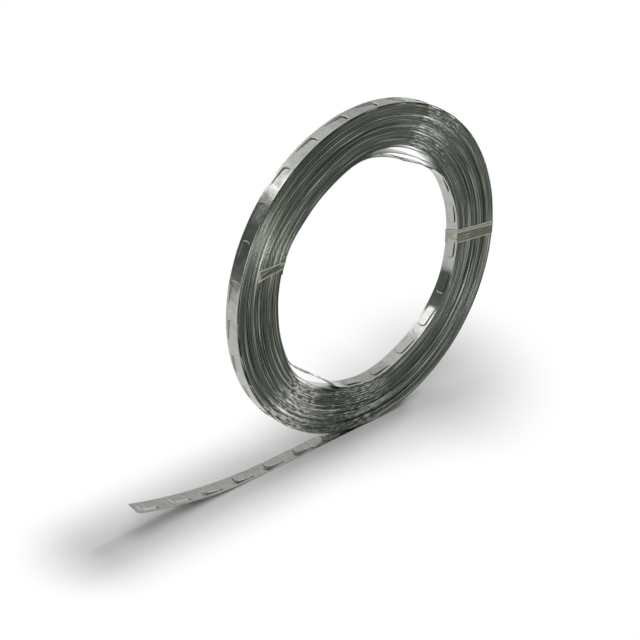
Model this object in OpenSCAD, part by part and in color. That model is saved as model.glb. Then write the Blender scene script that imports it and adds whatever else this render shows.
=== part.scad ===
// Coil of narrow steel fixing band with tongues lanced out of it, tied with two pieces of clear tape.
// It stands on its rim, and its free end lies on the floor and curls up towards its cut end.
// The origin is the centre of the bore, the axis of the coil runs along Y and the free end runs along -X.

/* [Band] */
// Width of the band
band_w = 10.5; // [8:0.5:20]
// Thickness of the band
band_t = 0.5; // [0.3:0.05:0.8]

/* [Coil] */
// Bore diameter of the coil
bore_d = 154; // [100:1:260]
// Number of turns wound on the coil
turns = 42; // [15:1:70]
// Gap between one turn and the next, held open by the tongues
turn_gap = 0.29; // [0.15:0.01:0.6]
// Depth to which the gaps between the turns show in each end of the coil
gap_depth = 1; // [0.3:0.1:3]

/* [Tongues] */
// Distance from one tongue to the next along the band
tongue_pitch = 25; // [20:0.5:50]
// Length of a tongue from its root to its tip
tongue_l = 14; // [8:0.5:17]
// Width of a tongue
tongue_w = 6; // [4.5:0.25:7]
// Radius of the rounded corners of a tongue's tip
tip_r = 2.2; // [0.5:0.1:2.2]
// Width of the slit around a tongue
slit_w = 0.4; // [0.2:0.05:1]
// Height to which a tongue's tip stands off the free end
tongue_lift = 1.2; // [0.4:0.1:2.5]
// Angle round the bore of the first tongue's tip on the innermost turn
inner_tip_angle = -178; // [-180:1:180]

/* [Free end] */
// Length of the free end that lies flat on the floor, from below the centre of the coil
flat_l = 78; // [60:1:150]
// Radius to which the rest of the free end curls up
curl_r = 370; // [250:5:800]
// Length of the curled part, along the band
curl_l = 112; // [40:1:200]
// Plain band between the last tongue and the cut end
end_margin = 4; // [2:0.5:8]

/* [Tape] */
// Thickness of the tape
tape_t = 0.15; // [0.05:0.05:0.3]
// Thickness of the glue between the tape and the steel
glue_t = 0.1; // [0.05:0.05:0.2]
// Width of the right tape
right_tape_w = 9.5; // [5:0.5:15]
// Angle round the bore at which the right tape lies
right_tape_angle = -0.5; // [-20:0.5:20]
// Slant of the right tape away from the radius
right_tape_slant = -6; // [-15:1:15]
// Width of the left tape, drawn narrower by its creases
left_tape_w = 8; // [5:0.5:15]
// Angle round the bore at which the left tape lies
left_tape_angle = 158.5; // [140:0.5:200]
// Slant of the left tape away from the radius
left_tape_slant = 20; // [-25:1:25]
// How far the left tape reaches from the bore across the turns
left_tape_reach = 21; // [10:0.5:30]

/* [Hidden] */
$fn = 180;

deg = 180 / PI;
half_w = band_w / 2;
bore_r = bore_d / 2;
turn_pitch = band_t + turn_gap;
outer_r = bore_r + turns * turn_pitch - turn_gap;
build_up = outer_r - bore_r;
free_l = flat_l + curl_l;

// Cutters reach this far past what they cut
cut_over = band_w / 4;

// Tongue tips are counted back from the cut end. Positive places lie on the free end, negative ones on the coil.
function tip_place(k) = free_l - end_margin - k * tongue_pitch;

// Where the coil has risen two band thicknesses off the floor, the free end is clear of it
nip_l = sqrt(pow(outer_r, 2) - pow(outer_r - 2 * band_t, 2));
free_tongues = 1 + floor((tip_place(0) - tongue_l - nip_l) / tongue_pitch);
first_on_coil = ceil(tip_place(0) / tongue_pitch);
last_on_coil = floor((tip_place(0) + 2 * PI * outer_r - tongue_l - slit_w) / tongue_pitch);
inner_tongues = floor(2 * PI * bore_r / tongue_pitch);

function outer_tip_angle(k) = -90 - tip_place(k) / outer_r * deg;
function bore_tip_angle(k) = inner_tip_angle + k * tongue_pitch / bore_r * deg;

// Radius of the inner face of a turn, counted from the bore
function turn_r(i) = bore_r + i * turn_pitch;

// One end of the coil in section: the edge of each turn, with the gap to the next turn cut in beside it
function end_outline(y_edge, y_gap) = [
    for (i = [0 : turns - 1])
        each concat(
            [[turn_r(i), y_edge], [turn_r(i) + band_t, y_edge]],
            i < turns - 1 ? [[turn_r(i) + band_t, y_gap], [turn_r(i + 1), y_gap]] : []
        )
];

function reversed(list) = [for (i = [len(list) - 1 : -1 : 0]) list[i]];

// Turns a section, drawn as radius and width, about the axis of the coil
module turned() {
    rotate([90, 0, 0])
        rotate_extrude()
            children();
}

// Sheet bent to an outside radius about Y, over an arc that starts straight down and runs towards +X
module bent_sheet(radius, width, angle) {
    rotate([90, 0, 0])
        rotate([0, 0, -90])
            rotate_extrude(angle = angle)
                translate([radius - band_t, -width / 2])
                    square([band_t, width]);
}

// Outline of a tongue with its root at x = 0 and its tip with rounded corners at x = tongue_l, grown by a margin
module tongue_outline(grow) {
    reach = tongue_l - tip_r;
    corner_y = tongue_w / 2 - tip_r;
    translate([0, -tongue_w / 2 - grow])
        square([reach, tongue_w + 2 * grow]);
    translate([0, -corner_y])
        square([tongue_l + grow, 2 * corner_y]);
    for (side = [-1, 1])
        translate([reach, side * corner_y])
            circle(r = tip_r + grow);
}

module slit_outline() {
    difference() {
        tongue_outline(slit_w);
        tongue_outline(0);
    }
}

// Slit around a tongue whose tip is at an angle round the coil, cut along the radius and open outwards
module coil_slit(tip_angle, radius) {
    middle_angle = tip_angle + tongue_l / 2 / radius * deg;
    rotate([0, 90 - middle_angle, 0])
        translate([-tongue_l / 2, 0, radius - 2 * cut_over])
            linear_extrude(4 * cut_over)
                slit_outline();
}

// Skin of the coil between two radii
module coil_skin(inside, outside) {
    turned()
        translate([inside, -half_w])
            square([outside - inside, band_w]);
}

module wound_coil() {
    turned()
        polygon(concat(
            end_outline(-half_w, gap_depth - half_w),
            reversed(end_outline(half_w, half_w - gap_depth))
        ));
}

// Slits that show on the outermost and the innermost turn, each as deep as the band is thick
module outer_slits() {
    intersection() {
        coil_skin(outer_r - band_t, outer_r + cut_over);
        for (k = [first_on_coil : last_on_coil])
            coil_slit(outer_tip_angle(k), outer_r);
    }
}

module bore_slits() {
    intersection() {
        coil_skin(bore_r - cut_over, bore_r + band_t);
        for (k = [0 : inner_tongues - 1])
            coil_slit(bore_tip_angle(k), bore_r);
    }
}

// Places what follows on the underside of the free end, with +X along the band towards its cut end
module at_free_end(place) {
    curl_angle = max(0, place - flat_l) / curl_r * deg;
    translate([-min(place, flat_l), 0, curl_r - outer_r])
        rotate([0, curl_angle, 0])
            translate([0, 0, -curl_r])
                rotate([0, 0, 180])
                    children();
}

module free_band() {
    translate([-flat_l, -half_w, -outer_r])
        cube([flat_l, band_w, band_t]);
    translate([-flat_l, 0, curl_r - outer_r])
        rotate([0, 0, 180])
            bent_sheet(curl_r, band_w, curl_l / curl_r * deg);
}

module tongue_window() {
    translate([0, 0, -cut_over])
        linear_extrude(2 * cut_over + band_t)
            tongue_outline(slit_w);
}

// Tongue bent up from its root, more tightly where the band under it curls too
module bent_tongue(on_curl) {
    bend = 2 * tongue_lift / pow(tongue_l, 2) + (on_curl ? 1 / curl_r : 0);
    intersection() {
        translate([0, 0, 1 / bend])
            bent_sheet(1 / bend, tongue_w, (tongue_l + slit_w) * bend * deg);
        linear_extrude(tongue_l)
            tongue_outline(0);
    }
}

module free_end() {
    difference() {
        free_band();
        for (k = [0 : free_tongues - 1])
            at_free_end(tip_place(k) - tongue_l)
                tongue_window();
    }
    for (k = [0 : free_tongues - 1])
        at_free_end(tip_place(k) - tongue_l)
            bent_tongue(tip_place(k) > flat_l);
}

module steel_band() {
    color("silver") {
        difference() {
            wound_coil();
            outer_slits();
            bore_slits();
        }
        free_end();
    }
}

// Section of the coil as it stands wound, grown by a margin
module coil_section(grow) {
    translate([bore_r - grow, -half_w - grow])
        square([build_up + 2 * grow, band_w + 2 * grow]);
}

// Straight run of tape from a point on the bore, glued round the section of the coil as far as it reaches
module tape_run(angle, slant, reach, width) {
    intersection() {
        turned()
            difference() {
                coil_section(glue_t + tape_t);
                coil_section(glue_t);
            }
        rotate([0, -angle, 0])
            translate([bore_r, 0, 0])
                rotate([0, -slant, 0])
                    translate([-width / 2, -band_w, -width / 2])
                        cube([width / 2 + reach, 2 * band_w, width]);
    }
}

// Tape wrapped right round the section of the coil
module tape_tie_right() {
    color("lightyellow", 0.5)
        tape_run(right_tape_angle, right_tape_slant, build_up + right_tape_w, right_tape_w);
}

// Tape folded over the bore, with an end stuck on each side of the coil
module tape_tie_left() {
    color("lightyellow", 0.5)
        tape_run(left_tape_angle, left_tape_slant, left_tape_reach, left_tape_w);
}

steel_band();
tape_tie_left();
tape_tie_right();
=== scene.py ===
"""Looks of a coil of narrow steel fixing band, tied with two pieces of clear tape.

The band is wound turn by turn as one strip with tongues lanced out of it. Its last turns hang loose in
the bore. Lengths are in millimetres until a mesh is made, and in metres in the studio round the object.
Angles round the coil run from +X towards +Z, in degrees.
"""

import math

import bmesh
import bpy
import numpy as np
from mathutils import Euler, Matrix, Vector


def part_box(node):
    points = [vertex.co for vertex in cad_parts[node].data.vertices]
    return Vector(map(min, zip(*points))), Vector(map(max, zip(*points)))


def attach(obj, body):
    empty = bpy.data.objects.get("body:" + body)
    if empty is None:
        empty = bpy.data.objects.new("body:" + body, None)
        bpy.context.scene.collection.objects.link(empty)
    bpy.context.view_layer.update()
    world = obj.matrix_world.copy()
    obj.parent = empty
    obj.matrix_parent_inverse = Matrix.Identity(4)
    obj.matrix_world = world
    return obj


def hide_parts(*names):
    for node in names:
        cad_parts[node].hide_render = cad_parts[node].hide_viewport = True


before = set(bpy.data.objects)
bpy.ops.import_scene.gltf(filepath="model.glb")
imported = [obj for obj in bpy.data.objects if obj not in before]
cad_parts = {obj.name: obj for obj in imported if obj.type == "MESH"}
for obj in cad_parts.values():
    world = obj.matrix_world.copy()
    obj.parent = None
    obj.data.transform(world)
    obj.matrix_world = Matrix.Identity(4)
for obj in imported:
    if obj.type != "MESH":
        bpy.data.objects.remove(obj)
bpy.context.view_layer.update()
scene = bpy.context.scene

MM = 0.001
DEG = math.pi / 180
TAU = 2 * math.pi

# Sizes read from the frame
band_low, band_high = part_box("steel_band")
OUTER_R = -band_low.z / MM
HALF_W = band_high.y / MM
TAPE_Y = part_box("tape_tie_right")[1].y / MM

# The band, with the same names and values as the solid's
BAND_T = 0.5
TONGUE_PITCH = 25.0
TONGUE_L = 14.0
TONGUE_W = 6.0
TIP_R = 2.2
FLAT_L = 78.0
CURL_R = 370.0
CURL_L = 112.0
FREE_L = FLAT_L + CURL_L
END_MARGIN = 4.0

# Length at which the free end comes clear of the coil, and the distance between its rows of points
NIP_L = 15.0
FREE_ROW = 2.0

# The free end twists a little and sags where it is off the floor, from one place along it to another
TWIST = 7.5
TWIST_SAG = 0.6
TWIST_FROM, TWIST_TO = 80.0, 128.0
TWIST_TRIM = 0.4

# The winding. The outermost turn keeps to the rim and then dips under the free end.
INNER_END_ANGLE = 162.0
WHOLE_TURNS = 41
TURNS = WHOLE_TURNS + (INNER_END_ANGLE + 90) / 360
SPARE_TURNS = 0.5
ROWS_PER_TURN = 160
DIP_FROM = 0.8
FIRST_GAP = 0.45
EDGE_BEVEL = 0.16

# Gaps between the turns: how unlike they are, and how many turns pass from one width to another.
# A turn wavers through a share of the room that its gaps leave, so often in a turn.
GAP_SPREAD, GAP_TURNS = 1.8, 0.8
WAVER_SHARE, WAVERS_PER_TURN = 0.45, 7

# Depth of the faint sides of the bare turns, how many turns are bare in the bore, and how soon they begin
RIPPLE = 0.1
BARE_IN_BORE, BARE_ONSET = 1.3, 0.2

# The edges of the turns lie out of line in waves: the share of each wave and how often it comes in a turn.
# The start of the outermost turn keeps in line with the free end.
SIDE_WANDER = 0.15
SIDE_WAVES = ((0.65, 2.6), (0.35, 9))
SIDE_STILL = 0.2

# Places where the edges of the turns are jumbled and carry painted glints: angle, half width, how much the
# painted highlight brightens them, and how patchy it is
JUMBLED_GLINT_PLACES = (
    (57.0, 16.0, -0.02, 0.2),
    (-133.0, 15.0, 0.17, 0.3),
    (-105.0, 18.0, 0.01, 0.16),
    (-88.0, 11.0, 0.08, 0.12),
)
JUMBLE_WANDER = 0.16
JUMBLE_ROWS_IN, JUMBLE_ROWS_ASIDE = 2.5, 2
SIDE_MOST = 0.22

# Side of the coil on which the edges get a painted sheen, a little paler: angle, half width and how much
PAINTED_SHEEN_ANGLE, PAINTED_SHEEN_HALF, PAINTED_SHEEN_BY = -35.0, 95.0, 0.045

# The tapes lie where the solids' do. Each presses a stretch of the coil even, by a share.
RIGHT_TAPE_ANGLE, RIGHT_TAPE_SLANT, RIGHT_TAPE_W = -0.5, -6.0, 9.5
LEFT_TAPE_ANGLE, LEFT_TAPE_SLANT, LEFT_TAPE_W, LEFT_TAPE_REACH = 158.5, 20.0, 8.0, 20.0
TAPE_T = 0.06
TAPE_PRESS, TAPE_HOLD = 9.0, 0.8
CUT_SLANT = 0.12

# Room for the creases of a tape inside its solid, and how far they rise and fold in
CREASE_ROOM = 0.17
CREASE_MOST, FOLD_MOST = 0.16, 0.12

# Points across a tape, along each side of the coil, and across the band's width
TAPE_COLUMNS, TAPE_ROWS, TAPE_WEB_ROWS = 49, 40, 13

# Bore radius of the firmly wound turns at angles round the coil, which is no longer round from handling
BORE_SHAPE = (
    (-175, 76.6), (-160, 77.3), (-148, 79.0), (-138, 79.8), (-122, 78.5), (-105, 76.8), (-88, 78.0),
    (-70, 76.4), (-50, 76.7), (-28, 77.8), (-8, 76.4), (25, 76.6), (42, 77.2), (58, 79.0), (78, 81.0),
    (95, 79.8), (112, 77.5), (135, 77.0), (152, 79.0), (168, 77.2),
)
BORE_SMOOTHING = 4.5

# Places where the last turns hang into the bore: angle, half width, and how far each does, the last first
LOOSE_PLACES = (
    (68.0, 36.0, (7.2, 4.3, 1.0)),
    (-130.0, 27.0, (6.2, 1.2, 0.3)),
)

# Tongues stay straight where the band bends, and slope inwards from their roots, more where it is wound.
# The first ones from the cut end slope less, by shares that grow, and no two are quite alike.
FREE_SLOPE = 0.115
WOUND_SLOPE = 0.126
FIRST_SHARE, SHARE_GAIN = 0.6, 0.15
OUTER_SLOPES = (0.92, 1.03)
BORE_SLOPES = (0.9, 1.1)
BORE_TIP_ANGLE = -178.0
BORE_R = 77.0

# Plain band before a tongue's slit and after its root, and from there to the next plain row
TONGUE_LEAD = 1.5
ROW_CLEAR = 0.5

# The slits round the tongues are wider along the sides than at the tips. Their rims are rolled: most
# opposite the tips, much on the near side of the free end's raised tongues, and hardly on the tips.
TIP_SLIT, SIDE_SLIT = 0.08, 0.3
ROLLED_W, ROLLED_T = 0.12, 0.06
ROLLED_TIP, ROLLED_RAISED, ROLLED_LEAST, ROLLED_MOST = 7.0, 5.0, 0.02, 0.2

# Lift from which a tongue counts as raised, and how far a border faces the cut end where it is a tip
RAISED_FROM = 0.1
TIP_FACING = -0.3

# Materials of the band: galvanised faces, slit edges, dark sheared walls painted as shaded, and pale sheared
# walls painted as lit
FACE, EDGE, SHADED_WALL, LIT_WALL = range(4)

rng = np.random.default_rng(17)


def smooth_step(value):
    value = np.clip(value, 0, 1)
    return value * value * (3 - 2 * value)


# Smooth random line between -1 and 1, with a knot every so many samples
def wander(count, step):
    knots = rng.uniform(-1, 1, int(count / step) + 3)
    place = np.arange(count) / step
    knot = place.astype(int)
    blend = smooth_step(place - knot)
    return knots[knot] * (1 - blend) + knots[knot + 1] * blend


# 1 near the places where the turns are jumbled, and 0 away from them
def jumbled(phi):
    near = np.zeros(len(phi))
    for angle, half, *_ in JUMBLED_GLINT_PLACES:
        away = np.mod(phi - angle + 180, 360) - 180
        near += smooth_step(2 - 2 * np.abs(away) / half)
    return near


def bore_radius(phi):
    degrees = np.arange(360.0)
    angles, radii = zip(*BORE_SHAPE)
    shape = np.interp(degrees, np.mod(angles, 360), radii, period=360)
    spread = np.minimum(degrees, 360 - degrees)
    kernel = np.exp(-0.5 * (spread / BORE_SMOOTHING) ** 2)
    smooth = np.real(np.fft.ifft(np.fft.fft(shape) * np.fft.fft(kernel / kernel.sum())))
    return np.interp(np.mod(phi, 360), degrees, smooth, period=360)


# Radius of the outer face of the band along the winding
def winding_radius(turn, phi):
    count = len(turn)
    slack = OUTER_R - BAND_T * (TURNS + SPARE_TURNS) - FIRST_GAP - bore_radius(phi)
    weight = np.exp(GAP_SPREAD * wander(count, GAP_TURNS * ROWS_PER_TURN)) * np.clip(turn - 1, 0, 1)
    share = np.cumsum(weight) / weight.sum()
    dip = smooth_step((turn - DIP_FROM) / (1 - DIP_FROM))
    radius = OUTER_R - (BAND_T + FIRST_GAP) * dip - BAND_T * np.maximum(turn - 1, 0) - slack * share
    gap = np.zeros(count)
    gap[:-ROWS_PER_TURN] = radius[:-ROWS_PER_TURN] - radius[ROWS_PER_TURN:] - BAND_T
    room = np.minimum(gap, np.roll(gap, ROWS_PER_TURN))
    room[: 2 * ROWS_PER_TURN] = 0
    waver = wander(count, ROWS_PER_TURN / WAVERS_PER_TURN)
    waver += jumbled(phi) * wander(count, JUMBLE_ROWS_IN)
    radius += WAVER_SHARE * room * waver
    before_end = (TURNS - turn) * 360
    for angle, half, depths in LOOSE_PLACES:
        for lap, depth in enumerate(depths):
            away = (before_end - (INNER_END_ANGLE - angle) % 360 - 360 * lap) / half
            radius -= depth * np.cos(np.clip(away, -1, 1) * math.pi / 2) ** 2
    # The band bends more easily beside a tongue than between two, so the bare turns are faintly many-sided
    bare = np.maximum(1 - dip, smooth_step((turn - TURNS + BARE_IN_BORE) / BARE_ONSET))
    length = np.cumsum(radius) * TAU / ROWS_PER_TURN
    return radius - RIPPLE * bare * (0.5 - 0.5 * np.cos(TAU * length / TONGUE_PITCH))


# How far the edges of the turns lie out of line with each other
def side_wander(turn, phi):
    count = len(turn)
    side = sum(share * wander(count, ROWS_PER_TURN / often) for share, often in SIDE_WAVES)
    for angle in (RIGHT_TAPE_ANGLE, LEFT_TAPE_ANGLE):
        away = np.mod(phi - angle + 180, 360) - 180
        side *= 1 - TAPE_HOLD * np.exp(-((away / TAPE_PRESS) ** 2))
    side = SIDE_WANDER * side + JUMBLE_WANDER * jumbled(phi) * wander(count, JUMBLE_ROWS_ASIDE)
    return np.clip(side, -SIDE_MOST, SIDE_MOST) * np.clip(turn - SIDE_STILL, 0, 1)


# Line of the outer face of the band, from the cut end along the floor and round the coil to its inner end
def band_line():
    place = np.arange(FREE_L - TWIST_TRIM, 0, -FREE_ROW)
    curl = np.maximum(place - FLAT_L, 0) / CURL_R
    free_x = -np.minimum(place, FLAT_L) - CURL_R * np.sin(curl)
    free_z = -OUTER_R + CURL_R * (1 - np.cos(curl))
    turn = np.arange(int(TURNS * ROWS_PER_TURN) + 1) / ROWS_PER_TURN
    phi = turn * 360 - 90
    radius = winding_radius(turn, phi)
    x = np.concatenate([free_x, radius * np.cos(phi * DEG)])
    z = np.concatenate([free_z, radius * np.sin(phi * DEG)])
    length = np.concatenate([[0], np.cumsum(np.hypot(np.diff(x), np.diff(z)))])
    tangent_x, tangent_z = np.gradient(x, length), np.gradient(z, length)
    size = np.hypot(tangent_x, tangent_z)
    zeros = np.zeros(len(place))
    twisted = smooth_step((place - TWIST_FROM) / (TWIST_TO - TWIST_FROM))
    return {
        "length": length,
        "x": x,
        "z": z,
        "out_x": tangent_z / size,
        "out_z": -tangent_x / size,
        "turn": np.concatenate([zeros, turn]),
        "side": np.concatenate([zeros, side_wander(turn, phi)]),
        "twisted": np.concatenate([twisted, np.zeros(len(turn))]),
    }


line = band_line()


def along_line(key, length):
    return np.interp(length, line["length"], line[key])


# A flat pattern of a sheet: points along and across it, how far each is pushed through, and its faces
class Pattern:
    def __init__(self):
        self.points = []
        self.faces = []

    def point(self, along, across, lift=0.0):
        self.points.append((along, across, lift))
        return len(self.points) - 1

    def row(self, along, places):
        return [self.point(along, across) for across in places]


# Outline of a tongue's tip, grown by two margins: distance from the root and place across, from side to side
def tip_outline(grow_tip, grow_side):
    steps = 4
    reach = TONGUE_L - TIP_R
    corner = TONGUE_W / 2 - TIP_R
    turn = [(-90 + 90 * j / steps) * DEG for j in range(steps + 1)]
    long, wide = TIP_R + grow_tip, TIP_R + grow_side
    half = [(reach + long * math.cos(a), -corner + wide * math.sin(a)) for a in turn]
    return half + [(x, -across) for x, across in reversed(half)]


# A tongue with the band round it, from the plain row before its tip to the plain row after its root
def add_tongue(pattern, before, tip, slope, curve):
    root = tip + TONGUE_L

    def tongue_point(x, across):
        return pattern.point(root - x, across, slope * x - curve * x * x / 2)

    tip_line = [tongue_point(*p) for p in tip_outline(0, 0)]
    gap_places = tip_outline(TIP_SLIT, SIDE_SLIT)
    gap_line = [pattern.point(root - x, across) for x, across in gap_places]
    middle_of_tip = len(tip_line) // 2
    near, far = before
    pattern.faces.append((near, far, gap_line[middle_of_tip], gap_line[middle_of_tip - 1]))
    for j in range(middle_of_tip - 1, 0, -1):
        x = gap_places[j - 1][0]
        next_near, next_far = pattern.row(root - x, (-HALF_W, HALF_W))
        mirror = len(gap_line) - 1 - j
        pattern.faces.append((near, gap_line[j], gap_line[j - 1], next_near))
        pattern.faces.append((far, gap_line[mirror], gap_line[mirror + 1], next_far))
        near, far = next_near, next_far
    reach = TONGUE_L - TIP_R
    middle = tongue_point(reach, 0)
    for j in range(len(tip_line) - 1):
        pattern.faces.append((middle, tip_line[j], tip_line[j + 1]))
    last = [near, gap_line[0], tip_line[0], middle, tip_line[-1], gap_line[-1], far]
    half, grown = TONGUE_W / 2, TONGUE_W / 2 + SIDE_SLIT
    rows = 5
    for i in range(1, rows + 1):
        x = reach * (1 - i / rows)
        now = pattern.row(root - x, (-HALF_W, -grown))
        now += [tongue_point(x, across) for across in (-half, 0, half)]
        now += pattern.row(root - x, (grown, HALF_W))
        for j in (0, 2, 3, 5):
            pattern.faces.append((last[j], last[j + 1], now[j + 1], now[j]))
        last = now
    after = pattern.row(root + TONGUE_LEAD, (-HALF_W, HALF_W))
    pattern.faces.append((*last, after[1], after[0]))
    return after


# Tongues by the place of their tips along the band, with their slope and the curve of the band under them
def band_tongues():
    tongues = []
    tip = END_MARGIN - TWIST_TRIM
    while tip + TONGUE_PITCH < FREE_L + TAU * OUTER_R:
        root = tip + TONGUE_L
        if root < CURL_L:
            slope, curve = FREE_SLOPE * min(1, FIRST_SHARE + SHARE_GAIN * len(tongues)), 1 / CURL_R
        elif root < FREE_L - NIP_L:
            slope, curve = FREE_SLOPE, 0
        else:
            slope, curve = WOUND_SLOPE, 1 / OUTER_R
        tongues.append((tip, slope * rng.uniform(*OUTER_SLOPES), curve))
        tip += TONGUE_PITCH
    last_lap = TURNS - ((INNER_END_ANGLE - BORE_TIP_ANGLE) % 360) / 360
    tip = np.interp(last_lap, line["turn"][1:], line["length"][1:]) - 2 * TONGUE_PITCH
    while tip + TONGUE_PITCH < line["length"][-1]:
        tongues.append((float(tip), WOUND_SLOPE * rng.uniform(*BORE_SLOPES), 1 / BORE_R))
        tip += TONGUE_PITCH
    return tongues


def band_pattern():
    pattern = Pattern()
    tongues = band_tongues()
    lead = TIP_SLIT + TONGUE_LEAD
    zones = [(tongue[0] - lead, tongue[0] + TONGUE_L + TONGUE_LEAD) for tongue in tongues]
    plain = [s for s in line["length"] if not any(a - ROW_CLEAR < s < b + ROW_CLEAR for a, b in zones)]
    stops = sorted([(float(s), None) for s in plain] + [(zone[0], t) for zone, t in zip(zones, tongues)])
    last = None
    for place, tongue in stops:
        now = pattern.row(place, (-HALF_W, HALF_W))
        if last:
            pattern.faces.append((last[0], last[1], now[1], now[0]))
        last = add_tongue(pattern, now, *tongue) if tongue else now
    return pattern


# Border lines of a pattern, each used by one face only, with that face
def pattern_border(faces):
    users = {}
    for face in faces:
        for a, b in zip(face, face[1:] + face[:1]):
            users.setdefault((min(a, b), max(a, b)), []).append(face)
    return [(a, b, used[0]) for (a, b), used in users.items() if len(used) == 1]


# Which way a pattern's border faces at each point: a unit vector along and across, or nothing inside it
def border_ways(points, border):
    ways = np.zeros((len(points), 2))
    for a, b, face in border:
        run = points[b, :2] - points[a, :2]
        way = np.array([run[1], -run[0]]) / np.hypot(*run)
        middle = (points[a, :2] + points[b, :2]) / 2
        if way @ (middle - points[list(face), :2].mean(axis=0)) < 0:
            way = -way
        ways[a] += way
        ways[b] += way
    return ways / np.maximum(np.hypot(ways[:, 0], ways[:, 1]), 1e-9)[:, None]


# The band's solid: each face of the pattern twice, with walls between along every border. The long edges
# get two sloping walls that meet in a ridge, as slit edges have. The slits get walls between two rolled
# rims, but hardly at a tongue's own tip or root. The slits' side walls and rims are dark, as painted shade
# in the slits, while the tips' walls and a raised tongue's inner rim on its near side are pale, as painted
# light.
def band_solid(name, pattern):
    points = np.array(pattern.points)
    count = len(points)
    border = pattern_border(pattern.faces)
    on_edge = np.abs(np.abs(points[:, 1]) - HALF_W) < 1e-6
    ways = border_ways(points, border)
    raised = (points[:, 2] > RAISED_FROM) & (points[:, 0] < FREE_L - NIP_L) & (points[:, 1] < 0)
    rolled = np.where(raised, ROLLED_RAISED, 1 + (ROLLED_TIP - 1) * ways[:, 0] ** 2)
    rolled[ways[:, 0] < TIP_FACING] = ROLLED_LEAST
    inset = ways * ROLLED_W * rolled[:, None]
    inset[on_edge] = np.column_stack([0 * points[on_edge, 1], np.sign(points[on_edge, 1]) * EDGE_BEVEL])
    along, across = (points[:, :2] - inset).T
    wall_depth = np.where(on_edge, BAND_T / 2, np.minimum(ROLLED_T * rolled, ROLLED_MOST))
    blocks = [
        band_place(along, across, points[:, 2]),
        band_place(along, across, points[:, 2] + BAND_T),
        band_place(points[:, 0], points[:, 1], points[:, 2] + wall_depth),
        band_place(points[:, 0], points[:, 1], points[:, 2] + BAND_T - wall_depth),
    ]
    under, wall_top, wall_low = (np.arange(count) + i * count for i in range(1, len(blocks)))
    faces = [tuple(face) for face in pattern.faces]
    faces += [tuple(under[list(face)]) for face in pattern.faces]
    kinds = [FACE] * len(faces)
    sharp = [(a, b) for a, b, _ in border] + [(under[a], under[b]) for a, b, _ in border]
    for a, b, _ in border:
        run_along, run_across = np.abs(points[b, :2] - points[a, :2])
        if not on_edge[a]:
            faces.append((a, b, wall_top[b], wall_top[a]))
            faces.append((wall_top[a], wall_top[b], wall_low[b], wall_low[a]))
            faces.append((wall_low[a], wall_low[b], under[b], under[a]))
            sharp += [(wall_top[a], wall_top[b]), (wall_low[a], wall_low[b])]
            # Side walls and their rims take the dark sheared material, as painted shade in the slits; tip
            # walls and rims, and a raised tongue's near inner rim, take the pale one, as painted light
            outer_rim = FACE if points[a, 2] + points[b, 2] > RAISED_FROM else SHADED_WALL
            inner_rim = LIT_WALL if raised[a] and raised[b] else SHADED_WALL
            kinds += [outer_rim, SHADED_WALL, inner_rim] if run_along > run_across else [LIT_WALL] * 3
        elif run_along > 0:
            faces.append((a, b, wall_top[b], wall_top[a]))
            faces.append((wall_top[a], wall_top[b], under[b], under[a]))
            kinds += [EDGE, EDGE]
        else:
            faces.append((a, b, wall_top[b], under[b], under[a], wall_top[a]))
            kinds.append(EDGE)
    return sheet_mesh(name, np.concatenate(blocks), faces, kinds, sharp, np.tile(points, (len(blocks), 1)))


# The solid of a piece of tape: its pattern twice, with plain walls between
def tape_solid(name, pattern, place):
    points = np.array(pattern.points)
    count = len(points)
    blocks = [place(*points[:, :2].T, points[:, 2]), place(*points[:, :2].T, points[:, 2] + TAPE_T)]
    faces = [tuple(face) for face in pattern.faces]
    faces += [tuple(i + count for i in face) for face in pattern.faces]
    border = pattern_border(pattern.faces)
    faces += [(a, b, b + count, a + count) for a, b, _ in border]
    sharp = [(a + i, b + i) for a, b, _ in border for i in (0, count)]
    return sheet_mesh(name, np.concatenate(blocks), faces, [0] * len(faces), sharp, np.tile(points, (2, 1)))


# Mesh of the faces given, without unused points. Each vertex keeps its place on the flat sheet.
def sheet_mesh(name, places, faces, kinds, sharp, sheet):
    used = np.zeros(len(places), bool)
    used[np.concatenate([np.array(face) for face in faces])] = True
    new_index = np.cumsum(used) - 1
    mesh = bpy.data.meshes.new(name)
    mesh.from_pydata((places[used] * MM).tolist(), [], [new_index[list(face)].tolist() for face in faces])
    mesh.polygons.foreach_set("material_index", np.array(kinds, np.int32))
    mesh.polygons.foreach_set("use_smooth", np.ones(len(faces), bool))
    pairs = {tuple(sorted(new_index[list(pair)].tolist())) for pair in sharp}
    flags = [tuple(sorted(edge.vertices)) in pairs for edge in mesh.edges]
    mesh.edges.foreach_set("use_edge_sharp", np.array(flags, bool))
    store(mesh, "sheet", sheet[used])
    turn_outwards(mesh)
    return mesh, sheet[used]


# Keeps a vector at each vertex for the materials to read
def store(mesh, name, values):
    attribute = mesh.attributes.new(name, "FLOAT_VECTOR", "POINT")
    attribute.data.foreach_set("vector", np.asarray(values, np.float32).ravel())


def turn_outwards(mesh):
    work = bmesh.new()
    work.from_mesh(mesh)
    bmesh.ops.recalc_face_normals(work, faces=work.faces[:])
    work.to_mesh(mesh)
    work.free()


def band_place(along, across, depth):
    twisted = along_line("twisted", along)
    roll = TWIST * DEG * twisted
    depth = depth + across * np.sin(roll) - TWIST_SAG * twisted
    x = along_line("x", along) - along_line("out_x", along) * depth
    z = along_line("z", along) - along_line("out_z", along) * depth
    return np.column_stack([x, along_line("side", along) + across * np.cos(roll), z])


def add_piece(name, mesh, materials, node):
    piece = bpy.data.objects.new(name, mesh)
    scene.collection.objects.link(piece)
    for material in materials:
        mesh.materials.append(material)
    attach(piece, "root")
    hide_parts(node)


# Node helpers
def new_material(name):
    material = bpy.data.materials.new(name)
    material.use_nodes = True
    nodes, links = material.node_tree.nodes, material.node_tree.links
    return material, nodes, links, nodes["Principled BSDF"]


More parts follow.
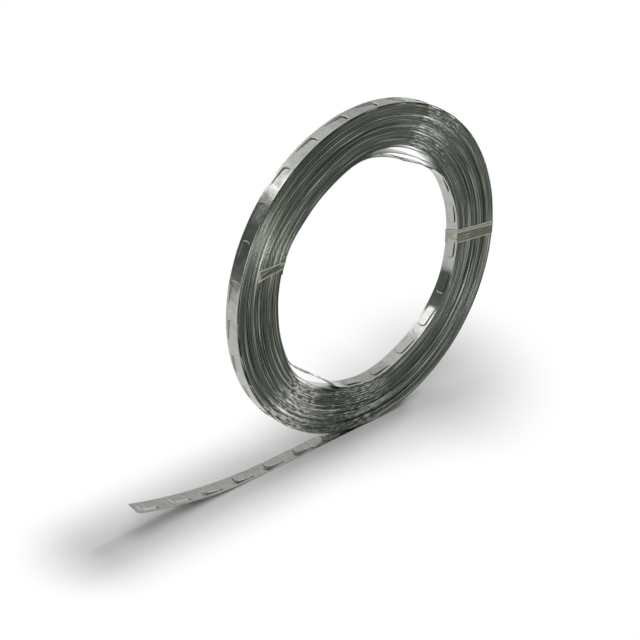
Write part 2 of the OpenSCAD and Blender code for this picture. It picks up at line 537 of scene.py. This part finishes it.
def add_noise(nodes, links, vector, scale, detail, roughness=0.5):
    noise = nodes.new("ShaderNodeTexNoise")
    noise.inputs["Scale"].default_value = scale
    noise.inputs["Detail"].default_value = detail
    noise.inputs["Roughness"].default_value = roughness
    links.new(vector, noise.inputs["Vector"])
    return noise.outputs["Fac"]


def add_scaled(nodes, links, vector, scale):
    mapping = nodes.new("ShaderNodeMapping")
    mapping.inputs["Scale"].default_value = scale
    links.new(vector, mapping.inputs["Vector"])
    return mapping.outputs["Vector"]


def add_ramp(nodes, links, value, stops):
    ramp = nodes.new("ShaderNodeValToRGB")
    elements = ramp.color_ramp.elements
    while len(elements) < len(stops):
        elements.new(0.5)
    for element, (place, colour) in zip(elements, stops):
        element.position = place
        element.color = (*colour, 1)
    links.new(value, ramp.inputs["Fac"])
    return ramp.outputs["Color"]


def add_range(nodes, links, value, low, high, start=0.3, end=0.7):
    mapped = nodes.new("ShaderNodeMapRange")
    mapped.inputs["From Min"].default_value = start
    mapped.inputs["From Max"].default_value = end
    mapped.inputs["To Min"].default_value = low
    mapped.inputs["To Max"].default_value = high
    links.new(value, mapped.inputs["Value"])
    return mapped.outputs["Result"]


def add_math(nodes, links, operation, first, second):
    node = nodes.new("ShaderNodeMath")
    node.operation = operation
    for value, socket in zip((first, second), node.inputs):
        if isinstance(value, (int, float)):
            socket.default_value = value
        else:
            links.new(value, socket)
    return node.outputs[0]


def add_bump(nodes, links, height, shader, strength, distance):
    bump = nodes.new("ShaderNodeBump")
    bump.inputs["Strength"].default_value = strength
    bump.inputs["Distance"].default_value = distance
    links.new(height, bump.inputs["Height"])
    links.new(bump.outputs["Normal"], shader.inputs["Normal"])


def add_attribute(nodes, name):
    attribute = nodes.new("ShaderNodeAttribute")
    attribute.attribute_name = name
    return attribute.outputs["Vector"]


def add_axes(nodes, links, vector):
    split = nodes.new("ShaderNodeSeparateXYZ")
    links.new(vector, split.inputs[0])
    return split.outputs


# Galvanised broad faces: satin zinc with faint patches and fine lines along the band
def galvanised_material():
    material, nodes, links, shader = new_material("galvanised_face")
    sheet = add_attribute(nodes, "sheet")
    patches = add_noise(nodes, links, sheet, 0.22, 4, 0.6)
    lines = add_noise(nodes, links, add_scaled(nodes, links, sheet, (0.12, 3.5, 1)), 1.0, 3)
    dents = add_noise(nodes, links, sheet, 0.11, 2)
    shader.inputs["Metallic"].default_value = 1
    colour = add_ramp(nodes, links, patches, [(0.3, (0.36, 0.368, 0.345)), (0.7, (0.47, 0.475, 0.445))])
    links.new(colour, shader.inputs["Base Color"])
    links.new(add_range(nodes, links, lines, 0.14, 0.27), shader.inputs["Roughness"])
    height = add_math(nodes, links, "ADD", dents, add_math(nodes, links, "MULTIPLY", lines, 0.08))
    add_bump(nodes, links, height, shader, 0.35, 0.0005)
    return material


# 1 on the part of the coil that lies within so many degrees of an angle, running out to 0
def add_zone(nodes, links, place, angle, half):
    along_x = add_math(nodes, links, "MULTIPLY", place["Y"], math.cos(angle * DEG))
    along_z = add_math(nodes, links, "MULTIPLY", place["Z"], math.sin(angle * DEG))
    facing = add_math(nodes, links, "ADD", along_x, along_z)
    return add_range(nodes, links, facing, 0.0, 1.0, math.cos(half * DEG), math.cos(half / 3 * DEG))


# Slit edges of the band: darker and rougher, no two turns alike, with painted glints, brighter and patchy,
# where they are jumbled, and a painted sheen, a little paler, on one side of the coil
def edge_material():
    material, nodes, links, shader = new_material("slit_edge")
    winding = add_attribute(nodes, "winding")
    sheet = add_attribute(nodes, "sheet")
    bands = add_noise(nodes, links, add_scaled(nodes, links, winding, (1.6, 1.4, 1.4)), 1.0, 2, 0.65)
    grain = add_noise(nodes, links, add_scaled(nodes, links, sheet, (0.06, 1, 1)), 0.9, 2)
    patches = add_noise(nodes, links, add_scaled(nodes, links, winding, (0.65, 20, 20)), 1.0, 2)
    place = add_axes(nodes, links, winding)
    shader.inputs["Metallic"].default_value = 0.85
    stops = [
        (0.34, (0.043, 0.052, 0.041)),
        (0.48, (0.081, 0.095, 0.075)),
        (0.56, (0.116, 0.134, 0.108)),
        (0.63, (0.228, 0.247, 0.215)),
        (0.74, (0.42, 0.43, 0.395)),
        (0.9, (0.64, 0.63, 0.56)),
    ]
    mixed = add_math(nodes, links, "ADD", bands, add_range(nodes, links, grain, -0.03, 0.03))
    # Painted glints: where the turns are jumbled, the edges' colour is lifted or lowered and broken into
    # bright and dark patches in place of highlights
    for angle, half, painted_lift, glint_patchiness in JUMBLED_GLINT_PLACES:
        zone = add_zone(nodes, links, place, angle, half)
        painted_glints = add_range(nodes, links, patches, painted_lift - glint_patchiness, painted_lift + glint_patchiness)
        mixed = add_math(nodes, links, "ADD", mixed, add_math(nodes, links, "MULTIPLY", zone, painted_glints))
    # Painted sheen: the edges are a little paler on one side of the coil, in place of reflected light
    painted_sheen = add_zone(nodes, links, place, PAINTED_SHEEN_ANGLE, PAINTED_SHEEN_HALF)
    mixed = add_math(nodes, links, "ADD", mixed, add_math(nodes, links, "MULTIPLY", painted_sheen, PAINTED_SHEEN_BY))
    links.new(add_ramp(nodes, links, mixed, stops), shader.inputs["Base Color"])
    links.new(add_range(nodes, links, grain, 0.24, 0.38), shader.inputs["Roughness"])
    return material


# Walls of the slits round the tongues: bare sheared metal between two shades of grain, made as a dark copy
# for the painted shade in the slits and a pale copy for the painted light where walls catch it
def sheared_material(name, metallic, dark, light):
    material, nodes, links, shader = new_material(name)
    grain = add_noise(nodes, links, add_attribute(nodes, "sheet"), 2.5, 3)
    shader.inputs["Metallic"].default_value = metallic
    links.new(add_ramp(nodes, links, grain, [(0.3, dark), (0.7, light)]), shader.inputs["Base Color"])
    shader.inputs["Roughness"].default_value = 0.4
    return material


# Clear tape, a little yellow, with a painted highlight along its creases, whiter the higher they rise, and
# painted shade in its folds, dark and more opaque
def tape_material():
    material, nodes, links, shader = new_material("clear_tape")
    sheet = add_attribute(nodes, "sheet")
    depth = add_axes(nodes, links, sheet)["Z"]
    rise = add_range(nodes, links, depth, 0.0, 1.0, FOLD_MOST, -CREASE_MOST)
    wrinkles = add_noise(nodes, links, add_scaled(nodes, links, sheet, (0.03, 0.22, 0)), 1.0, 2)
    crease_highlight_and_fold_shade = [
        (0.0, (0.012, 0.013, 0.01)),
        (0.3, (0.215, 0.225, 0.155)),
        (0.46, (0.225, 0.235, 0.16)),
        (0.66, (0.78, 0.78, 0.64)),
        (1.0, (0.85, 0.85, 0.74)),
    ]
    # Painted highlight whitens the tape where it rises, and painted shade darkens it where it folds in
    links.new(add_ramp(nodes, links, rise, crease_highlight_and_fold_shade), shader.inputs["Base Color"])
    cover = ((0.0, 0.92), (0.3, 0.58), (0.46, 0.58), (0.66, 0.4), (1.0, 0.7))
    covered = add_ramp(nodes, links, rise, [(stop, (share, share, share)) for stop, share in cover])
    streaks = add_range(nodes, links, wrinkles, -0.04, 0.04)
    opaque = add_math(nodes, links, "ADD", covered, streaks)
    links.new(opaque, shader.inputs["Alpha"])
    shader.inputs["Roughness"].default_value = 0.2
    shader.inputs["IOR"].default_value = 1.47
    return material


coil_start = int(np.argmax(line["turn"] > 0)) - 1
line_radius = np.hypot(line["x"], line["z"])


# Radius of the bore's face and of the rim at an angle
def inner_face_radius(phi):
    turn = TURNS - np.mod(INNER_END_ANGLE - phi, 360) / 360
    last = slice(-4 * ROWS_PER_TURN, None)
    return np.interp(turn, line["turn"][last], line_radius[last]) - BAND_T


def outer_face_radius(phi):
    turn = np.mod(phi + 90, 360) / 360
    first = slice(coil_start, coil_start + ROWS_PER_TURN)
    return np.interp(turn, line["turn"][first], line_radius[first])


# Where straight lines across the coil meet a face of it, as steps along them from their starts
def crossing(start, run, radius_at):
    step = np.zeros(len(start))
    for _ in range(12):
        point = start + run * step[:, None]
        phi = np.degrees(np.arctan2(point[:, 1], point[:, 0]))
        step += radius_at(phi) - np.hypot(point[:, 0], point[:, 1])
    return step


# A piece of tape on the coil. Columns run across it and rows run along it: over the front, the rim, the
# back and the bore where it goes right round, or from its end on the front over the bore to its end on
# the back, where it has a reach.
def tape_mesh(name, angle, slant, width, reach, creases, drawn_in):
    columns = TAPE_COLUMNS
    across = np.linspace(-width / 2, width / 2, columns)
    lean = (angle + slant) * DEG
    run = np.array([math.cos(lean), math.sin(lean)])
    side = np.array([-math.sin(lean), math.cos(lean)])
    corner = bore_radius(np.array([angle]))[0] * np.array([math.cos(angle * DEG), math.sin(angle * DEG)])
    start = corner + across[:, None] * side
    first = crossing(start, run, inner_face_radius)
    if reach is None:
        last = crossing(start + run * first[:, None], run, outer_face_radius) + first
    else:
        last = np.full(columns, reach) + CUT_SLANT * across
    over = np.linspace(0, 1, TAPE_ROWS)
    web = np.linspace(-1, 1, TAPE_WEB_ROWS)[1:-1]
    if reach is None:
        stations = [(f, -1.0) for f in over] + [(1.0, w) for w in web]
        stations += [(f, 1.0) for f in over[::-1]] + [(0.0, -w) for w in web]
    else:
        stations = [(f, -1.0) for f in over[::-1]] + [(0.0, w) for w in web] + [(f, 1.0) for f in over]
    share = np.array([s[0] for s in stations])
    deep = np.array([s[1] for s in stations])
    step = first + (last - first) * share[:, None]
    rise = creases(step, across + 0 * step, deep[:, None] + 0 * step)
    pattern = Pattern()
    rows = [[pattern.point(i, j, -rise[i, j]) for j in range(columns)] for i in range(len(stations))]
    for now, after in zip(rows, rows[1:] + ([rows[0]] if reach is None else [])):
        for j in range(columns - 1):
            pattern.faces.append((now[j], now[j + 1], after[j + 1], after[j]))

    def place(row, column, depth):
        row, column = row.astype(int), column.astype(int)
        off = TAPE_Y - HALF_W - CREASE_ROOM - depth
        out = np.where(share[row] == 0, -1.0, np.where((share[row] == 1) & (reach is None), 1.0, 0.0))
        width_share, shift = drawn_in(share[row], deep[row])
        narrow = across[column] * (width_share - 1) + shift
        flat = start[column] + run * (step[row, column] + out * off)[:, None] + narrow[:, None] * side
        y = deep[row] * (HALF_W + off * (np.abs(deep[row]) == 1))
        return np.column_stack([flat[:, 0], y, flat[:, 1]])

    return tape_solid(name, pattern, place)[0]


def ridge(value, width):
    return np.exp(-((value / width) ** 2))


# Two creases along the upper edge, one along the lower edge, short ones beside it, and a bulge over the
# corner of the bore
def right_creases(step, across, deep):
    rise = 0.11 * ridge(across - 4.4, 0.4) + 0.11 * ridge(across - 2.8 + 0.02 * step, 0.4)
    rise += 0.1 * ridge(across + 4.4, 0.4) + 0.03 * smooth_step((across - 2.2) / 0.8)
    short = ridge(across + 2.9 - 0.08 * step, 0.35) + ridge(across + 0.8 - 0.08 * step, 0.35)
    rise += 0.05 * short * smooth_step((14 - step) / 4)
    over_corner = (np.abs(deep) < 1) * ridge(deep + 0.65, 0.4)
    rise += 0.18 * over_corner * (ridge(across - 0.8, 1.8) + ridge(across + 3.8, 1.0))
    rise += 0.06 * (np.abs(deep) < 1)
    return np.clip(rise, 0, CREASE_MOST)


# Creases along both edges and the cut end, pale from the tape's painted highlight, and a fold that runs
# slanting between them, dark from its painted shade
def left_creases(step, across, deep):
    rise = 0.13 * ridge(across + 3.5, 0.7) + 0.1 * ridge(across + 1.7 - 0.1 * step, 0.5)
    rise += 0.1 * ridge(across - 3.3, 0.6) + 0.12 * ridge(step - 19.3, 0.7)
    fold = across + 0.62 - 0.185 * (step - 6.2)
    rise -= 0.32 * ridge(fold, 0.8) * smooth_step((step - 2) / 4) * smooth_step((18 - step) / 3)
    return np.clip(rise, -FOLD_MOST, CREASE_MOST)


# Even in width, and lower at the back of the bore than at its front
def wound_aslant(share, deep):
    return 1 + 0 * share, -1.6 * (deep + 1) * (1 - share)


# Gathered towards the bore and fanned out at its cut end
def gathered(share, deep):
    return 0.6 + 0.36 * share, 1.4 * share - 1.2


# The band
band_mesh, band_sheet = band_solid("steel_band_strip", band_pattern())
band_turn = along_line("turn", band_sheet[:, 0])
band_phi = (band_turn * 360 - 90) * DEG
store(band_mesh, "winding", np.column_stack([band_turn, np.cos(band_phi), np.sin(band_phi)]))
band_materials = [galvanised_material(), edge_material()]
# Dark sheared walls stand in for the shade in the slits, and pale ones are painted light on the tips and
# raised rims that catch it
band_materials.append(sheared_material("sheared_shaded", 0.8, (0.06, 0.066, 0.058), (0.12, 0.128, 0.114)))
band_materials.append(sheared_material("sheared_lit", 0.2, (0.5, 0.51, 0.48), (0.66, 0.67, 0.64)))
add_piece("steel_band_strip", band_mesh, band_materials, "steel_band")

# The tapes
tape = tape_material()
right_tape = (RIGHT_TAPE_ANGLE, RIGHT_TAPE_SLANT, RIGHT_TAPE_W, None, right_creases, wound_aslant)
left_tape = (LEFT_TAPE_ANGLE, LEFT_TAPE_SLANT, LEFT_TAPE_W, LEFT_TAPE_REACH, left_creases, gathered)
for node, shape in (("tape_tie_right", right_tape), ("tape_tie_left", left_tape)):
    sheet_name = node + "_sheet"
    add_piece(sheet_name, tape_mesh(sheet_name, *shape), [tape], node)


# Adds a mesh rectangle that belongs to the studio
def add_stage_plane(name, centre, right, up, material):
    mesh = bpy.data.meshes.new(name)
    centre, right, up = np.array(centre), np.array(right), np.array(up)
    corners = [centre - right - up, centre + right - up, centre + right + up, centre - right + up]
    mesh.from_pydata([c.tolist() for c in corners], [], [(0, 1, 2, 3)])
    mesh.materials.append(material)
    plane = bpy.data.objects.new(name, mesh)
    scene.collection.objects.link(plane)
    return plane


# 1 for rays from the camera and for those that metal and clear tape pass on, and 0 for light that falls
# on things
def add_seen_rays(nodes, links):
    path = nodes.new("ShaderNodeLightPath")
    seen = add_math(nodes, links, "ADD", path.outputs["Is Camera Ray"], path.outputs["Is Glossy Ray"])
    seen = add_math(nodes, links, "ADD", seen, path.outputs["Is Transmission Ray"])
    return add_math(nodes, links, "MINIMUM", seen, 1)


# Pale floor that keeps the shadows along the object and runs out to white away from it. The shadow reaches
# further out beside the coil than along its free end, and drifts backwards past the coil.
FLOOR_HALF = 4
FLOOR_GREY = 0.66
FLOOR_LEFT, FLOOR_RIGHT = -0.21, 0.08
FLOOR_NEAR, FLOOR_FAR = 0.0, 0.057
COIL_FROM, COIL_TO, COIL_SPREAD = -0.07, 0.04, 0.55
DRIFT_FROM, DRIFT_TO, DRIFT_BY = 0.06, 0.16, 0.04


def floor_material():
    material, nodes, links, shader = new_material("pale_floor")
    shader.inputs["Base Color"].default_value = (FLOOR_GREY, FLOOR_GREY, FLOOR_GREY, 1)
    shader.inputs["Roughness"].default_value = 0.9
    shader.inputs["Specular IOR Level"].default_value = 0.1
    place = add_axes(nodes, links, nodes.new("ShaderNodeTexCoord").outputs["Object"])
    along = add_math(nodes, links, "MINIMUM", place["X"], FLOOR_RIGHT)
    along = add_math(nodes, links, "MAXIMUM", along, FLOOR_LEFT)
    past = add_math(nodes, links, "SUBTRACT", place["X"], along)
    square = add_math(nodes, links, "MULTIPLY", past, past)
    drift = add_range(nodes, links, place["X"], 0.0, DRIFT_BY, DRIFT_FROM, DRIFT_TO)
    across = add_math(nodes, links, "SUBTRACT", place["Y"], drift)
    square = add_math(nodes, links, "ADD", square, add_math(nodes, links, "MULTIPLY", across, across))
    spread = add_range(nodes, links, place["X"], 1.0, COIL_SPREAD, COIL_FROM, COIL_TO)
    away = add_math(nodes, links, "MULTIPLY", add_math(nodes, links, "POWER", square, 0.5), spread)
    fade = nodes.new("ShaderNodeMapRange")
    fade.interpolation_type = "SMOOTHSTEP"
    fade.inputs["From Min"].default_value = FLOOR_NEAR
    fade.inputs["From Max"].default_value = FLOOR_FAR
    links.new(away, fade.inputs["Value"])
    white = nodes.new("ShaderNodeEmission")
    mix = nodes.new("ShaderNodeMixShader")
    seen = add_seen_rays(nodes, links)
    links.new(add_math(nodes, links, "MULTIPLY", fade.outputs["Result"], seen), mix.inputs[0])
    links.new(shader.outputs[0], mix.inputs[1])
    links.new(white.outputs[0], mix.inputs[2])
    links.new(mix.outputs[0], nodes["Material Output"].inputs["Surface"])
    return material


floor_centre = (0, 0, -OUTER_R * MM)
add_stage_plane("floor", floor_centre, (FLOOR_HALF, 0, 0), (0, FLOOR_HALF, 0), floor_material())


# A standing card that shows only in the metal, in patches between two levels of brightness
def add_card(name, way, away, half_width, low, top, dim, bright, tint):
    material, nodes, links, shader = new_material(name)
    nodes.remove(shader)
    patches = add_noise(nodes, links, nodes.new("ShaderNodeTexCoord").outputs["Object"], 5.0, 2)
    glow = nodes.new("ShaderNodeEmission")
    glow.inputs["Color"].default_value = (*tint, 1)
    links.new(add_range(nodes, links, patches, dim, bright), glow.inputs["Strength"])
    links.new(glow.outputs[0], nodes["Material Output"].inputs["Surface"])
    way = np.array(way) / np.linalg.norm(way)
    right = (way[1] * half_width, -way[0] * half_width, 0)
    card = add_stage_plane(name, (*(way * away), (low + top) / 2), right, (0, 0, (top - low) / 2), material)
    card.visible_camera = False
    card.visible_diffuse = False
    card.visible_transmission = False
    card.visible_shadow = False


add_card(
    "dark_card", way=(-0.756, 0.654), away=0.75, half_width=0.5, low=-0.065, top=0.59,
    dim=0.08, bright=0.26, tint=(0.86, 1.0, 0.92),
)
add_card(
    "grey_card", way=(0.66, 0.75), away=0.8, half_width=0.4, low=-0.1, top=0.75,
    dim=0.6, bright=0.85, tint=(1.0, 1.0, 1.0),
)

# World: white behind everything, softer as a light
WORLD_LIGHT = 0.14
world = bpy.data.worlds.new("studio")
scene.world = world
world.use_nodes = True
world_nodes, world_links = world.node_tree.nodes, world.node_tree.links
seen_rays = add_seen_rays(world_nodes, world_links)
background = world_nodes["Background"]
background.inputs["Color"].default_value = (1, 1, 1, 1)
strength = add_range(world_nodes, world_links, seen_rays, WORLD_LIGHT, 1.0, 0.0, 1.0)
world_links.new(strength, background.inputs["Strength"])


# Area light on a direction from the coil, aimed at it: square, unless it has a height of its own
def add_light(name, direction, distance, width, power, height=None):
    data = bpy.data.lights.new(name, "AREA")
    data.shape = "RECTANGLE"
    data.size = width
    data.size_y = height or width
    data.energy = power
    light = bpy.data.objects.new(name, data)
    scene.collection.objects.link(light)
    way = np.array(direction) / np.linalg.norm(direction)
    right = np.cross((0, 0, 1), way)
    right /= np.linalg.norm(right)
    up = np.cross(way, right)
    axes = np.column_stack([right, up, way, way * distance])
    light.matrix_world = Matrix([*axes.tolist(), [0, 0, 0, 1]])
    return light


add_light("soft_left", (-0.6, -0.45, 0.66), distance=1.3, width=0.8, power=1.5)
add_light("softbox_back_left", (-0.37, 0.687, 0.66), distance=1.2, width=0.55, power=0.6, height=0.21)

# Lights for the shadows on the floor and not for the metal: a low one in line with the coil, two wide ones
key_right = add_light("key_right", (0.88, 0.12, 0.48), distance=1.3, width=0.2, power=6.2)
overhead = add_light("overhead", (0.3, 0.1, 1), distance=1.3, width=1.6, power=12.2)
fill_left = add_light("fill_left", (-0.55, -0.5, 0.67), distance=1.3, width=0.6, power=2.5)
for light in (key_right, overhead, fill_left):
    light.visible_glossy = False

# Two small lights that only glint in the metal
glint_right = add_light("glint_right", (0.93, -0.36, 0.03), distance=1.0, width=0.2, power=0.8)
glint_front = add_light("glint_front", (-0.36, -0.925, 0.08), distance=2.5, width=0.5, power=47.0)
for glint in (glint_right, glint_front):
    glint.visible_diffuse = False

# Camera at the photograph's viewing angle: degrees from looking along +Y and down, and its place
CAMERA_TURN, CAMERA_DOWN = -42.406, 28.718
CAMERA_PLACE = (-0.7386, -0.7660, 0.5468)
camera_data = bpy.data.cameras.new("camera")
camera_data.sensor_width = 36
camera_data.lens = 107.7
camera = bpy.data.objects.new("camera", camera_data)
scene.collection.objects.link(camera)
camera_angles = Euler(((90 - CAMERA_DOWN) * DEG, 0, CAMERA_TURN * DEG))
camera.matrix_world = Matrix.LocRotScale(Vector(CAMERA_PLACE), camera_angles, None)
scene.camera = camera

scene.view_settings.view_transform = "Standard"
